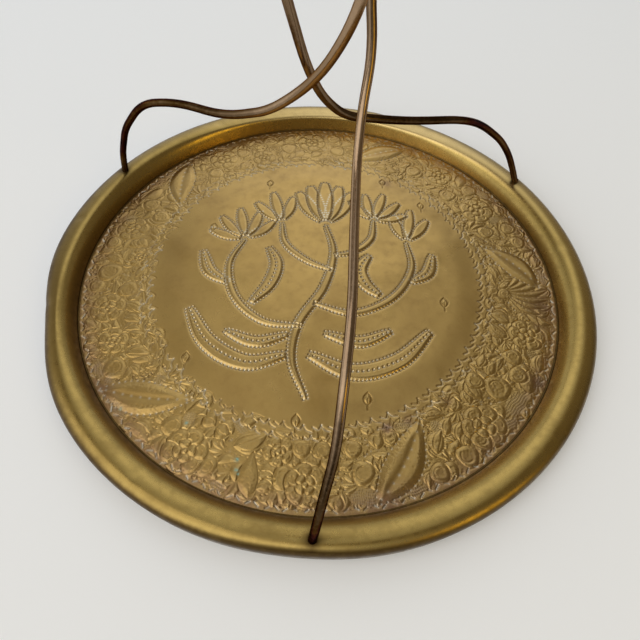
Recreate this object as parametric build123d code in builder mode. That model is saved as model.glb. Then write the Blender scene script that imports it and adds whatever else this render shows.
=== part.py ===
"""A round brass serving tray that hangs from a ring.

Three bent brass rods stand on the tray's hollow rim, cross over its middle and rise as an open,
onion-shaped grip to a turned cap. A finial turns in the cap, and a ring swings in the finial's eye.

The tray rests on its flat underside at z = 0, with the axis of the tray and the cap on Z. The rods
stand at the front (-Y), at the back right and at the back left.
"""

from build123d import *
from math import atan, cos, degrees, radians, sin, sqrt, tan
import os

# Tray: one sheet, with a flat floor, a half-round hollow rim and a hem curled under its edge
SHEET = 1.0
TRAY_RADIUS = 160.0
FLOOR_RADIUS = 142.0
CROWN_RADIUS = 155.0
RIM_HEIGHT = 12.8
CREASE_RADIUS = 3.0
HEM_RADIUS = 1.6
HEM_HEIGHT = 3.0
HEM_TURN = 180.0

# Rods, and where each one stands on the rim
ROD = 4.0
FOOT_RADIUS = 152.7
FOOT_ANGLES = {"front": -88.8, "back_right": 31.5, "back_left": 153.7}

# Fastening under the rim: a turned-down end through a hole, a saddle washer and a hexagon nut
TENON = 3.0
TENON_TIP = 5.6
TENON_ROOT = 14.6
RIM_HOLE = 3.3
SADDLE_DIAMETER = 6.4
SADDLE_BASE = 9.2
RIM_NUT_WIDTH = 5.5
RIM_NUT_HEIGHT = 2.4
NUT_SIDES = 6

# Cap, with three blind holes for the rods' upper ends and a plain bore for the finial's stem
CAP_BASE = 234.0
CAP_RADIUS = 23.0
CAP_EDGE = 2.6
CAP_EDGE_ROUNDING = 0.8
CAP_HEIGHT = 12.0
LEDGE_WIDTH = 1.4
LEDGE_RISE = 0.8
DOME_MIDDLE_RADIUS = 15.2
DOME_MIDDLE_RISE = 7.9
COLLAR_RADIUS = 8.5
COLLAR_HEIGHT = 2.0
COLLAR_CHAMFER = 0.5
GRIP_PITCH_RADIUS = 13.0
GRIP_ANGLES = {"front": 2.0, "back_right": 122.0, "back_left": 242.0}
GRIP_DEPTH = 6.0
LOCK_NUT_WIDTH = 7.0
LOCK_NUT_HEIGHT = 2.2

# Finial and its fastening: the stem runs in the cap's bore
STEM = 5.0
STEM_CLEARANCE = 0.05
STEM_CHAMFER = 0.5
END_PLAY = 0.1
FLANGE_RADIUS = 7.5
FLANGE_THICKNESS = 2.0
FLANGE_ROUNDING = 0.7
NECK_RADIUS = 3.6
BALL_RADIUS = 6.5
NECK_HEIGHT = 1.2
STEM_WASHER_DIAMETER = 10.0
STEM_WASHER_THICKNESS = 1.0
STEM_NUT_WIDTH = 8.0
STEM_NUT_HEIGHT = 4.0
THREAD_STICK_OUT = 1.6

# Ring in the finial's eye, at rest on the cap's edge
RING_RADIUS = 18.0
RING_WIRE = 4.0
EYE = 6.0
EYE_CHAMFER = 0.4
RING_DROP = 0.55
RING_REST_ANGLE = 42.0

# Routes of the rods as reach from the axis, sideways to the left, and height, seen from each rod's
# own foot. They were bent by hand, so no two are quite alike.
LOWER_BENDS = {
    "front": [
        (150.0, 1.0, 24.0), (142.5, 3.0, 36.0), (128.5, 7.0, 52.5), (112.0, 8.5, 69.0),
        (85.0, 11.0, 80.0), (47.5, 11.5, 87.5), (20.5, 12.0, 97.0), (5.0, 13.0, 110.5),
        (-5.5, 15.5, 128.5),
    ],
    "back_right": [
        (148.5, 3.5, 22.5), (141.0, 5.5, 34.5), (128.5, 6.5, 48.5), (107.5, 8.0, 64.5),
        (85.0, 3.5, 76.5), (48.0, 7.0, 84.0), (15.5, 12.0, 93.0), (2.5, 12.0, 106.0),
        (-6.0, 11.0, 122.5),
    ],
    "back_left": [
        (151.5, -2.0, 24.5), (144.0, 0.0, 36.5), (133.5, 2.5, 52.5), (114.0, 1.5, 74.0),
        (86.0, 2.5, 84.0), (51.0, 7.5, 91.0), (24.0, 10.0, 104.0), (8.5, 7.5, 117.0),
        (-4.0, 11.0, 132.0),
    ],
}
# The grip, alike for all three rods: reach past the axis, sideways, and height
GRIP_BENDS = [
    (-14.0, 12.5, 149.5), (-19.5, 13.0, 169.0), (-19.0, 13.0, 189.0), (-11.5, 13.0, 207.0),
    (0.0, 13.0, 223.5),
]
# How far an arc's radius may fill the shorter of its two runs
ARC_SHARE = 0.45
# Two radii closer than this are the same
SAME_RADIUS = 0.01


def at(reach, sideways, height, angle):
    """The point at this reach and sideways distance, in a frame turned by angle about the axis."""
    turn = radians(angle)
    x = reach * cos(turn) - sideways * sin(turn)
    y = reach * sin(turn) + sideways * cos(turn)
    return Vector(x, y, height)


def arc_radii(points):
    """One radius for each inner point of a route, from its shorter run and the turn there."""
    radii = []
    for before, here, after in zip(points, points[1:], points[2:]):
        run_in, run_out = here - before, after - here
        half_turn = radians(run_in.get_angle(run_out)) / 2
        radii.append(ARC_SHARE * min(run_in.length, run_out.length) / tan(half_turn))
    return radii


def circles(piece, radius):
    """The round edges of this radius on a piece."""
    round_edges = piece.edges().filter_by(GeomType.CIRCLE)
    return round_edges.filter_by(lambda edge: abs(edge.radius - radius) < SAME_RADIUS)


def finish(part, label):
    """Name a finished piece and write its file."""
    part.label = label
    export_step(part, f"parts/{label}.step")


# The rim's section is a chain of tangent arcs: crease, bead up to the crown, edge, drop and hem
RIM_RISE = RIM_HEIGHT - SHEET
WALL_ANGLE = 2 * degrees(atan(RIM_RISE / (CROWN_RADIUS - FLOOR_RADIUS)))
BEAD_RADIUS = RIM_RISE / (1 - cos(radians(WALL_ANGLE))) - CREASE_RADIUS
EDGE_RADIUS = TRAY_RADIUS - CROWN_RADIUS
BEAD_CENTRE_HEIGHT = RIM_HEIGHT - BEAD_RADIUS


def rim_top(radius):
    """Height of the bead's upper face at this radius, between the wall and the crown."""
    return BEAD_CENTRE_HEIGHT + sqrt(BEAD_RADIUS**2 - (CROWN_RADIUS - radius) ** 2)


def sheet_line(depth):
    """The sheet's section from the axis to the hem, this deep under its upper face."""
    with BuildLine() as line:
        floor = Line((0, SHEET - depth), (FLOOR_RADIUS, SHEET - depth))
        crease = JernArc(floor @ 1, floor % 1, CREASE_RADIUS + depth, WALL_ANGLE)
        bead = JernArc(crease @ 1, crease % 1, BEAD_RADIUS - depth, -WALL_ANGLE)
        edge = JernArc(bead @ 1, bead % 1, EDGE_RADIUS - depth, -90)
        drop = Line(edge @ 1, (TRAY_RADIUS - depth, HEM_HEIGHT))
        JernArc(drop @ 1, drop % 1, HEM_RADIUS - depth, -HEM_TURN)
    return line.line


os.makedirs("parts", exist_ok=True)

FOOT_HEIGHT = rim_top(FOOT_RADIUS)
FEET = {name: at(FOOT_RADIUS, 0, FOOT_HEIGHT, angle) for name, angle in FOOT_ANGLES.items()}

# Tray dish
with BuildPart() as tray_dish:
    with BuildSketch(Plane.XZ):
        upper, under = sheet_line(0), sheet_line(SHEET)
        start = Edge.make_line(upper @ 0, under @ 0)
        end = Edge.make_line(upper @ 1, under @ 1)
        make_face(upper.edges() + under.edges() + [start, end])
    revolve(axis=Axis.Z)
    with Locations(*[(foot.X, foot.Y, RIM_HEIGHT) for foot in FEET.values()]):
        Hole(RIM_HOLE / 2, depth=RIM_HEIGHT - SADDLE_BASE)
finish(tray_dish.part, "tray_dish")

# The space under the rim's upper face, and the space above its lower face, trim what meets the rim
with BuildPart() as under_rim_top:
    with BuildSketch(Plane.XZ):
        with Locations((CROWN_RADIUS, BEAD_CENTRE_HEIGHT)):
            Circle(BEAD_RADIUS)
    revolve(axis=Axis.Z)

with BuildPart() as above_rim_underside:
    with BuildSketch(Plane.XZ):
        with Locations((CROWN_RADIUS, RIM_HEIGHT)):
            Rectangle(2 * BEAD_RADIUS, 2 * BEAD_RADIUS)
        with Locations((CROWN_RADIUS, BEAD_CENTRE_HEIGHT)):
            Circle(BEAD_RADIUS - SHEET, mode=Mode.SUBTRACT)
    revolve(axis=Axis.Z)

# Rods
ROD_END = CAP_BASE + GRIP_DEPTH
for name, foot in FEET.items():
    foot_angle, grip_angle = FOOT_ANGLES[name], GRIP_ANGLES[name]
    bends = [at(*bend, foot_angle) for bend in LOWER_BENDS[name]]
    grip = [at(*bend, grip_angle - 90) for bend in GRIP_BENDS]
    rod_top = at(GRIP_PITCH_RADIUS, 0, ROD_END, grip_angle)
    first_run = (bends[0] - foot).normalized()
    route = [foot - first_run * ROD] + bends + grip + [rod_top]
    with BuildPart() as arm:
        with BuildLine():
            FilletPolyline(*route, radius=arc_radii(route))
        with BuildSketch(Plane(route[0], z_dir=first_run)):
            Circle(ROD / 2)
        sweep()
        add(under_rim_top.part, mode=Mode.SUBTRACT)
        with BuildSketch(Plane.XY.offset(TENON_TIP)):
            with Locations((foot.X, foot.Y)):
                Circle(TENON / 2)
        extrude(amount=TENON_ROOT - TENON_TIP)
    finish(arm.part, f"arm_{name}")

# Saddle washers, turned to the hollow of the rim, and nuts below them
for name, foot in FEET.items():
    seat = Plane(origin=(foot.X, foot.Y, SADDLE_BASE), x_dir=(foot.X, foot.Y, 0), z_dir=(0, 0, 1))
    with BuildPart() as rim_washer:
        with BuildSketch(seat):
            Circle(SADDLE_DIAMETER / 2)
            Circle(RIM_HOLE / 2, mode=Mode.SUBTRACT)
        extrude(amount=RIM_HEIGHT - SADDLE_BASE)
        add(above_rim_underside.part, mode=Mode.SUBTRACT)
        add(tray_dish.part, mode=Mode.SUBTRACT)
    finish(rim_washer.part, f"rim_washer_{name}")

    with BuildPart() as rim_nut:
        with BuildSketch(seat):
            RegularPolygon(RIM_NUT_WIDTH / 2, NUT_SIDES, major_radius=False)
            Circle(TENON / 2, mode=Mode.SUBTRACT)
        extrude(amount=-RIM_NUT_HEIGHT)
    finish(rim_nut.part, f"rim_nut_{name}")

# Crown cap
CAP_TOP = CAP_BASE + CAP_HEIGHT
LEDGE_BASE = CAP_BASE + CAP_EDGE
DOME_MIDDLE = (DOME_MIDDLE_RADIUS, CAP_BASE + DOME_MIDDLE_RISE)
with BuildPart() as crown_cap:
    with BuildSketch(Plane.XZ):
        with BuildLine():
            base = Line((0, CAP_BASE), (CAP_RADIUS, CAP_BASE))
            rim = Line(base @ 1, (CAP_RADIUS, LEDGE_BASE))
            ledge = Line(rim @ 1, (CAP_RADIUS - LEDGE_WIDTH, LEDGE_BASE + LEDGE_RISE))
            dome = ThreePointArc(ledge @ 1, DOME_MIDDLE, (COLLAR_RADIUS, CAP_TOP - COLLAR_HEIGHT))
            collar = Line(dome @ 1, (COLLAR_RADIUS, CAP_TOP))
            top = Line(collar @ 1, (0, CAP_TOP))
            Line(top @ 1, base @ 0)
        make_face()
    revolve(axis=Axis.Z)
    fillet(circles(crown_cap, CAP_RADIUS), CAP_EDGE_ROUNDING)
    chamfer(circles(crown_cap, COLLAR_RADIUS).sort_by(Axis.Z)[-1], COLLAR_CHAMFER)
    with Locations(Plane.XY.offset(CAP_TOP)):
        Hole(STEM / 2 + STEM_CLEARANCE)
    with BuildSketch(Plane.XY.offset(CAP_BASE)):
        with Locations(*[at(GRIP_PITCH_RADIUS, 0, 0, angle) for angle in GRIP_ANGLES.values()]):
            Circle(ROD / 2)
    extrude(amount=GRIP_DEPTH, mode=Mode.SUBTRACT)
finish(crown_cap.part, "crown_cap")

# Lock nuts on the rods' upper ends, tight against the cap
for name, grip_angle in GRIP_ANGLES.items():
    with BuildPart() as lock_nut:
        with BuildSketch(Plane.XY.offset(CAP_BASE)):
            with Locations(at(GRIP_PITCH_RADIUS, 0, 0, grip_angle)):
                RegularPolygon(LOCK_NUT_WIDTH / 2, NUT_SIDES, major_radius=False)
                Circle(ROD / 2, mode=Mode.SUBTRACT)
        extrude(amount=-LOCK_NUT_HEIGHT)
    finish(lock_nut.part, f"lock_nut_{name}")

# Finial: stem, flange, neck and a ball with the ring's eye through it, along X at rest
FLANGE_BASE = CAP_TOP + END_PLAY
EYE_HEIGHT = FLANGE_BASE + FLANGE_THICKNESS + NECK_HEIGHT + sqrt(BALL_RADIUS**2 - NECK_RADIUS**2)
STEM_WASHER_TOP = CAP_BASE - END_PLAY
STEM_NUT_BASE = STEM_WASHER_TOP - STEM_WASHER_THICKNESS - STEM_NUT_HEIGHT
STEM_TIP = STEM_NUT_BASE - THREAD_STICK_OUT
with BuildPart() as swivel_finial:
    with BuildSketch(Plane.XZ):
        with Locations((0, STEM_TIP)):
            Rectangle(STEM / 2, FLANGE_BASE - STEM_TIP, align=(Align.MIN, Align.MIN))
        with Locations((0, FLANGE_BASE)):
            Rectangle(FLANGE_RADIUS, FLANGE_THICKNESS, align=(Align.MIN, Align.MIN))
            Rectangle(NECK_RADIUS, EYE_HEIGHT - FLANGE_BASE, align=(Align.MIN, Align.MIN))
    revolve(axis=Axis.Z)
    fillet(circles(swivel_finial, FLANGE_RADIUS), FLANGE_ROUNDING)
    chamfer(circles(swivel_finial, STEM / 2).sort_by(Axis.Z)[0], STEM_CHAMFER)
    with Locations((0, 0, EYE_HEIGHT)):
        Sphere(BALL_RADIUS)
        Cylinder(EYE / 2, 2 * BALL_RADIUS, rotation=(0, 90, 0), mode=Mode.SUBTRACT)
    chamfer(circles(swivel_finial, EYE / 2), EYE_CHAMFER)
finish(swivel_finial.part, "swivel_finial")

with BuildPart() as swivel_washer:
    with BuildSketch(Plane.XY.offset(STEM_WASHER_TOP)):
        Circle(STEM_WASHER_DIAMETER / 2)
        Circle(STEM / 2, mode=Mode.SUBTRACT)
    extrude(amount=-STEM_WASHER_THICKNESS)
finish(swivel_washer.part, "swivel_washer")

with BuildPart() as swivel_nut:
    with BuildSketch(Plane.XY.offset(STEM_NUT_BASE)):
        RegularPolygon(STEM_NUT_WIDTH / 2, NUT_SIDES, major_radius=False)
        Circle(STEM / 2, mode=Mode.SUBTRACT)
    extrude(amount=STEM_NUT_HEIGHT)
finish(swivel_nut.part, "swivel_nut")

# Hanging ring, through the eye and lying back over the cap's edge
LEAN = radians(RING_REST_ANGLE)
RING_REACH = RING_RADIUS - RING_DROP
RING_CENTRE = (0, RING_REACH * cos(LEAN), EYE_HEIGHT - RING_REACH * sin(LEAN))
with BuildPart() as hanging_ring:
    with Locations(Plane(RING_CENTRE, x_dir=(1, 0, 0), z_dir=(0, sin(LEAN), cos(LEAN)))):
        Torus(RING_RADIUS, RING_WIRE / 2)
finish(hanging_ring.part, "hanging_ring")

print(f"wall angle {WALL_ANGLE:.2f}, bead radius {BEAD_RADIUS:.2f}, foot height {FOOT_HEIGHT:.2f}")
print(f"eye height {EYE_HEIGHT:.3f}, stem tip {STEM_TIP:.2f}")
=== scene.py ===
"""The looks of a round brass serving tray that hangs from three bent rods.

The dish is one worked sheet. Its relief is drawn on a raster of heights, in millimetres, as a
chaser would: shapes are raised, lines are cut, dots are punched and the ground is matted. The
pieces are then surfaces on grids that read their height from that raster. The rim is a section
carried round the axis. The rods, the cap, the finial and the ring keep their solids, and so do
the nuts and washers.
"""

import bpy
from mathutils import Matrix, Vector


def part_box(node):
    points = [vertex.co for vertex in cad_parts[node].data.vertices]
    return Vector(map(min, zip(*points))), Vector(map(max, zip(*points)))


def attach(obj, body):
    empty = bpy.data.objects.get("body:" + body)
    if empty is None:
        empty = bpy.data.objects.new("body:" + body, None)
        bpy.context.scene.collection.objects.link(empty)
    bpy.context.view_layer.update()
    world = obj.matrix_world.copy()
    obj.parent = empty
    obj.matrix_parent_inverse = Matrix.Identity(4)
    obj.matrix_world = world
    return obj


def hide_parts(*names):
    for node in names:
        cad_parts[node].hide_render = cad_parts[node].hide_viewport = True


bl_info = {
    "name": "Hanging Brass Tray",
    "version": (1, 0, 0),
    "blender": (4, 5, 0),
    "location": "View3D > Sidebar > Tray",
    "description": "Makes the worked dish, the fittings and the finishes of a hanging brass tray",
    "category": "Add Mesh",
}

import math
from functools import cache, partial

import bpy
import numpy as np
from bpy.props import FloatProperty, FloatVectorProperty, IntProperty, PointerProperty
from mathutils import Matrix

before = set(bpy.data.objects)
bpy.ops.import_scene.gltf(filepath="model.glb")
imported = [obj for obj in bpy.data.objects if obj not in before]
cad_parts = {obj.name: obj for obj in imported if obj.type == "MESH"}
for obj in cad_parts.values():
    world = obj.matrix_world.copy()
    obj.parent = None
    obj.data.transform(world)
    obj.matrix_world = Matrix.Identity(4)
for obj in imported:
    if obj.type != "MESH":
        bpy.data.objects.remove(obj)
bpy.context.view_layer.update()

MM = 0.001
TURN = 2 * math.pi
# Edges between faces that meet at more than this angle are sharp
SHARP_FROM = math.radians(75)

# The dish's section, in millimetres, as in the solid
TRAY_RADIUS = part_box("tray_dish")[1].x / MM
RIM_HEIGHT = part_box("tray_dish")[1].z / MM
SHEET = 1.0
FLOOR_RADIUS = 142.0
CROWN_RADIUS = 155.0
CREASE_RADIUS = 0.7
HEM_RADIUS = 1.6
HEM_HEIGHT = 3.0
HEM_STEPS = 12
RIM_RISE = RIM_HEIGHT - SHEET
WALL_ANGLE = 2 * math.atan(RIM_RISE / (CROWN_RADIUS - FLOOR_RADIUS))
BEAD_RADIUS = RIM_RISE / (1 - math.cos(WALL_ANGLE)) - CREASE_RADIUS
EDGE_RADIUS = TRAY_RADIUS - CROWN_RADIUS

# Where the dish is divided into pieces, and how much coarser the grid of its under face is
RIM_SEAM = 141.8
BORDER_SEAM = 94.0
BORDER_SECTORS = 6
CENTRE_SQUARES = 2
COARSE = 3

# The chased border lies between two circles: the inner one is a little off the axis
BORDER_INNER_CENTRE = (-2.7, -0.7)
BORDER_INNER_RADIUS = 100.8
BORDER_OUTER_RADIUS = 141.0
# The rows of small leaves between its larger work: first radius, end and step
FILL_ROWS = (106.0, 138.0, 5.8)
# The rings of strokes along its two edges: the outer one's radius and the inner one's second row
ZIGZAG_RADIUS = 139.9
SECOND_ROW = 4.8


def heading(turn):
    """The direction at this angle in radians, as a step of length 1."""
    return np.array([math.cos(turn), math.sin(turn)])


def polar(angle, radius):
    """The point at this angle, in degrees from +X, and radius, in millimetres."""
    return radius * heading(math.radians(angle))


def square_to(way):
    """A step turned left by a quarter turn."""
    return np.array([-way[1], way[0]])


def bell(off, half):
    """1 in the middle, falling off as a bell curve of this half width."""
    return np.exp(-((off / half) ** 2))


def smooth(values, low, high):
    """0 below low, 1 above high and a smooth step between them."""
    share = np.clip((values - low) / (high - low), 0, 1)
    return share * share * (3 - 2 * share)


def curve(points, steps=8):
    """A smooth line through points: a Catmull-Rom spline with this many steps a run."""
    points = np.asarray(points, float)
    padded = np.vstack([2 * points[0] - points[1], points, 2 * points[-1] - points[-2]])
    before, here, after, beyond = padded[:-3], padded[1:-2], padded[2:-1], padded[3:]
    share = (np.arange(steps) / steps)[None, :, None]
    cubic = -before + 3 * here - 3 * after + beyond
    square = 2 * before - 5 * here + 4 * after - beyond
    run = after - before
    line = here[:, None] + share / 2 * (
        run[:, None] + share * (square[:, None] + share * cubic[:, None])
    )
    return np.vstack([line.reshape(-1, 2), points[-1]])


def along(line, pitch):
    """Points every pitch along a line, and the line's direction at each of them."""
    steps = np.diff(line, axis=0)
    lengths = np.hypot(*steps.T)
    run = np.concatenate([[0], np.cumsum(lengths)])
    count = max(2, int(round(run[-1] / pitch)) + 1)
    at = np.linspace(0, run[-1], count)
    points = np.stack([np.interp(at, run, line[:, 0]), np.interp(at, run, line[:, 1])], 1)
    which = np.clip(np.searchsorted(run, at, side="right") - 1, 0, len(steps) - 1)
    return points, steps[which] / lengths[which][:, None]


def leaf_line(base, tip, width, bend=0.0, fullness=0.8, points=22):
    """The closed outline of a leaf from base to tip.

    Its half width is a sine of the way along, pulled towards the base by fullness below 1, and its
    middle line is a parabola that bends sideways by this share of the length.
    """
    axis = np.asarray(tip, float) - base
    middle = middle_line(base, tip, bend, points=points)
    way = np.linspace(0, 1, points)
    half = width / 2 * np.sin(math.pi * way**fullness) / np.hypot(*axis)
    out = half[:, None] * square_to(axis)
    return np.vstack([middle + out, (middle - out)[-2:0:-1]])


def middle_line(base, tip, bend=0.0, start=0.0, end=1.0, points=12):
    """A leaf's middle line, from this share of its length to that one."""
    base = np.asarray(base, float)
    axis = tip - base
    way = np.linspace(start, end, points)
    return base + way[:, None] * axis + (4 * bend * way * (1 - way))[:, None] * square_to(axis)


def lobe_line(centre, length, width, turn, points=26):
    """The closed outline of a round petal: an oval whose outer end is fuller than its root."""
    angle = np.linspace(0, TURN, points, endpoint=False)
    out = length / 2 * np.cos(angle)
    across = width / 2 * np.sin(angle) * (1 + 0.28 * np.cos(angle))
    way = heading(turn)
    return centre + out[:, None] * way + across[:, None] * square_to(way)


def arc_line(centre, radius, start, end, points=12):
    """Part of a circle, between two angles in radians."""
    angle = np.linspace(start, end, points)
    return np.stack([centre[0] + radius * np.cos(angle), centre[1] + radius * np.sin(angle)], 1)


class Relief:
    """Heights over the sheet's plain face, in millimetres, on a square raster."""

    HALF = 146.0
    CELL = 0.2

    def __init__(self):
        count = int(round(2 * self.HALF / self.CELL)) + 1
        line = np.linspace(-self.HALF, self.HALF, count)
        self.x, self.y = np.meshgrid(line, line)
        self.raised = np.zeros((count, count))
        self.cut = np.zeros((count, count))
        self.plain = np.ones((count, count))
        self.bright = np.zeros((count, count))
        self.frequency = np.fft.rfftfreq(count, self.CELL)
        self.frequency_down = np.fft.fftfreq(count, self.CELL)

    def window(self, points, reach):
        """The cells within reach of some points, as slices."""
        low = (points.min(0) - reach + self.HALF) / self.CELL
        high = (points.max(0) + reach + self.HALF) / self.CELL
        last = len(self.x) - 1
        columns = slice(max(0, int(low[0])), min(last, int(high[0]) + 1) + 1)
        rows = slice(max(0, int(low[1])), min(last, int(high[1]) + 1) + 1)
        return rows, columns

    def distance(self, line, cells):
        """Each cell's distance to an open line of points."""
        x, y = self.x[cells][..., None], self.y[cells][..., None]
        start, step = line[:-1], np.diff(line, axis=0)
        length = np.maximum((step**2).sum(1), 1e-9)
        share = ((x - start[:, 0]) * step[:, 0] + (y - start[:, 1]) * step[:, 1]) / length
        share = np.clip(share, 0, 1)
        off_x = x - start[:, 0] - share * step[:, 0]
        off_y = y - start[:, 1] - share * step[:, 1]
        return np.sqrt((off_x**2 + off_y**2).min(-1))

    def signed(self, outline, cells):
        """Each cell's distance to a closed outline, less than 0 inside it.

        A cell is inside if a line to its right crosses the outline an odd number of times.
        """
        closed = np.vstack([outline, outline[:1]])
        far = self.distance(closed, cells)
        x, y = self.x[cells][..., None], self.y[cells][..., None]
        a, b = closed[:-1], closed[1:]
        rise = b[:, 1] - a[:, 1]
        rise = np.where(np.abs(rise) < 1e-9, 1e-9, rise)
        spans = (a[:, 1] > y) != (b[:, 1] > y)
        crosses = spans & (x < a[:, 0] + (y - a[:, 1]) / rise * (b[:, 0] - a[:, 0]))
        return np.where(crosses.sum(-1) % 2 == 1, -far, far)

    def sink(self, cells, share, depth, bright):
        """Cut the cells by their share of a depth, and paint their share of pale metal: fresh metal
        with a painted glint.
        """
        self.cut[cells] = np.maximum(self.cut[cells], depth * share)
        self.bright[cells] = np.maximum(self.bright[cells], bright * share)

    def chase(self, line, width=0.4, depth=0.15, bright=0.0):
        """Cut a line: its depth falls off from the middle as a bell curve of this half width. Bright is
        its share of pale metal with a painted glint.
        """
        cells = self.window(line, 3 * width)
        self.sink(cells, bell(self.distance(line, cells), width), depth, bright)

    def emboss(self, outline, rise=0.3, shoulder=2.3, dish=0.0, dish_from=1.4, width=0.38,
               depth=0.13):
        """Raise the inside of an outline and cut round it.

        The face climbs from the outline over shoulder, and sinks again by dish further inside.
        """
        cells = self.window(outline, 3 * width + 1)
        inside = -self.signed(outline, cells)
        face = rise * smooth(inside, -0.3, shoulder)
        face = face - dish * smooth(inside, dish_from, dish_from + 2.2)
        self.raised[cells] = np.where(inside > -0.1, face, self.raised[cells])
        groove = depth * bell(inside, width)
        self.cut[cells] = np.maximum(np.where(inside > 0, 0, self.cut[cells]), groove)
        self.plain[cells] = np.minimum(self.plain[cells], smooth(-inside, 0.2, 0.9))

    def punch(self, points, radius=0.55, depth=0.42, bright=0.8):
        """Sink a round dot at each point: a bell curve of this radius. Bright is its share of pale
        metal with a painted glint.
        """
        for point in np.atleast_2d(points):
            cells, share = self.spot(point, radius)
            self.sink(cells, share, depth, bright)

    def spot(self, middle, radius):
        """The cells about a point, and a round bell curve of this radius over them."""
        cells = self.window(middle[None], 3 * radius)
        return cells, bell(np.hypot(self.x[cells] - middle[0], self.y[cells] - middle[1]), radius)

    def blur(self, heights, spread):
        """Heights smoothed by a round bell curve of this spread, in the frequency domain."""
        half = 1 / (math.sqrt(2) * math.pi * spread)
        kept = bell(self.frequency, half) * bell(self.frequency_down, half)[:, None]
        return np.fft.irfft2(np.fft.rfft2(heights) * kept, heights.shape)

    def cloud(self, rng, spread):
        """Smooth random heights whose features are as wide as spread, and whose spread is 1."""
        heights = self.blur(rng.standard_normal(self.cut.shape), spread)
        return heights / heights.std()

    def thrown(self, rng, count, spread):
        """Soft dots thrown over the whole raster, each about 1 high at most."""
        dots = np.zeros_like(self.cut)
        rows, columns = rng.integers(0, len(dots), (2, count))
        dots[rows, columns] = rng.uniform(0.4, 1.0, count)
        return self.blur(dots, spread) * (TURN * (spread / self.CELL) ** 2)

    def read(self, heights, points):
        """Heights at points in millimetres, straight between the cells."""
        column = np.clip((points[..., 0] + self.HALF) / self.CELL, 0, len(heights) - 1.001)
        row = np.clip((points[..., 1] + self.HALF) / self.CELL, 0, len(heights) - 1.001)
        i, j = column.astype(int), row.astype(int)
        s, t = column - i, row - j
        below = heights[j, i] * (1 - s) + heights[j, i + 1] * s
        above = heights[j + 1, i] * (1 - s) + heights[j + 1, i + 1] * s
        return below * (1 - t) + above * t


def small_leaf(relief, base, tip, width, bend=0.14, curl=1):
    """A smooth leaf between two points, with one curled line inside."""
    relief.emboss(leaf_line(base, tip, width, bend * curl), dish=0.07)
    relief.chase(middle_line(base, tip, (bend + 0.09) * curl, 0.14, 0.74))


def twin_leaf(relief, base, tip, width, bend=0.14, curl=1):
    """A leaf with two curved lines inside, which run together at its tip."""
    relief.emboss(leaf_line(base, tip, width, bend * curl), rise=0.28)
    for share in (-0.16, 0.1):
        relief.chase(middle_line(base, tip, (bend + share) * curl, 0.2, 0.86))


def shell(relief, middle, size, turn, curl=1):
    """A round lobe with a hooked line inside, like a snail's shell."""
    relief.emboss(lobe_line(middle, size, size * 0.9, turn), rise=0.28, dish=0.07)
    relief.chase(arc_line(middle, size * 0.26, turn + curl * 0.4, turn + curl * 3.4))


def crescents(relief, middle, size, turn):
    """Two curved slips side by side."""
    out = heading(turn)
    for way in (-1, 1):
        root = middle + 0.2 * way * size * square_to(out) - 0.5 * size * out
        relief.emboss(leaf_line(root, root + size * out, 0.42 * size, 0.2 * way), rise=0.22,
                      shoulder=1.6)


def palmette(relief, root, size, turn, strokes=3, spread=70.0, bend=0.0):
    """Narrow leaves that leave one root, like a shell's ribs."""
    for number in range(strokes):
        share = number / (strokes - 1) - 0.5
        out = heading(turn + math.radians(spread) * share)
        tip = root + size * (1 - 0.3 * abs(share)) * out
        width = 0.62 * size * math.radians(spread) / strokes
        relief.emboss(leaf_line(root + 0.12 * size * out, tip, width, bend, 1.2), shoulder=1.8)


def rosette(relief, middle, size, petals=6, turn=0.0, eye=1.5):
    """A flower: two rounds of overlapping petals about a ringed eye.

    The outer petals are notched by a short line, and the inner ones hooked.
    """
    for number in range(petals):
        angle = turn + TURN * number / petals
        out = size * heading(angle)
        relief.emboss(lobe_line(middle + 0.31 * out, 0.42 * size, 0.47 * size, angle), dish=0.1)
        relief.chase(arc_line(middle + 0.33 * out, 0.1 * size, angle - 0.6, angle + 2.0))
    for number in range(4):
        angle = turn + 0.5 + TURN * number / 4
        petal = lobe_line(middle + 0.15 * size * heading(angle), 0.22 * size, 0.26 * size, angle)
        relief.emboss(petal, rise=0.32, shoulder=1.8)
    ring = arc_line(middle, eye, 0, TURN * 15 / 16, 16)
    relief.emboss(ring, rise=0.34, shoulder=0.9, dish=0.2, dish_from=0.5)


def beaded_leaf(relief, base, tip, width, bend):
    """A large pointed leaf: its edge and its middle vein are rows of punched dots."""
    outline = leaf_line(base, tip, width, bend, fullness=0.85, points=40)
    relief.emboss(outline, rise=0.62, shoulder=3.8, width=0.7, depth=0.12)
    vein = middle_line(base, tip, bend, 0.06, 0.92, 24)
    relief.chase(vein, 2.2, 0.4)
    # Its dots are painted pale: fresh metal with a painted glint
    relief.punch(along(outline, 3.1)[0], 0.55, 0.3, 0.45)
    relief.punch(along(vein, 4.6)[0], 0.62, 0.5, 0.5)


def bird(relief, angle, radius, size, glint):
    """A small mark of two curved strokes that meet, like a bird far off."""
    middle, out = polar(angle, radius), polar(angle, size)
    for way in (-1, 1):
        side = way * square_to(out)
        ends = [middle - 0.35 * out, middle + 0.4 * side + 0.1 * out]
        ends.append(middle + side + (0.05 + 0.25 * way) * out)
        relief.chase(curve(ends, 5), 0.5, 0.24, 0.7 * glint)
    relief.punch(middle - 0.45 * out, 0.55, 0.26, 2 * glint)


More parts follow.
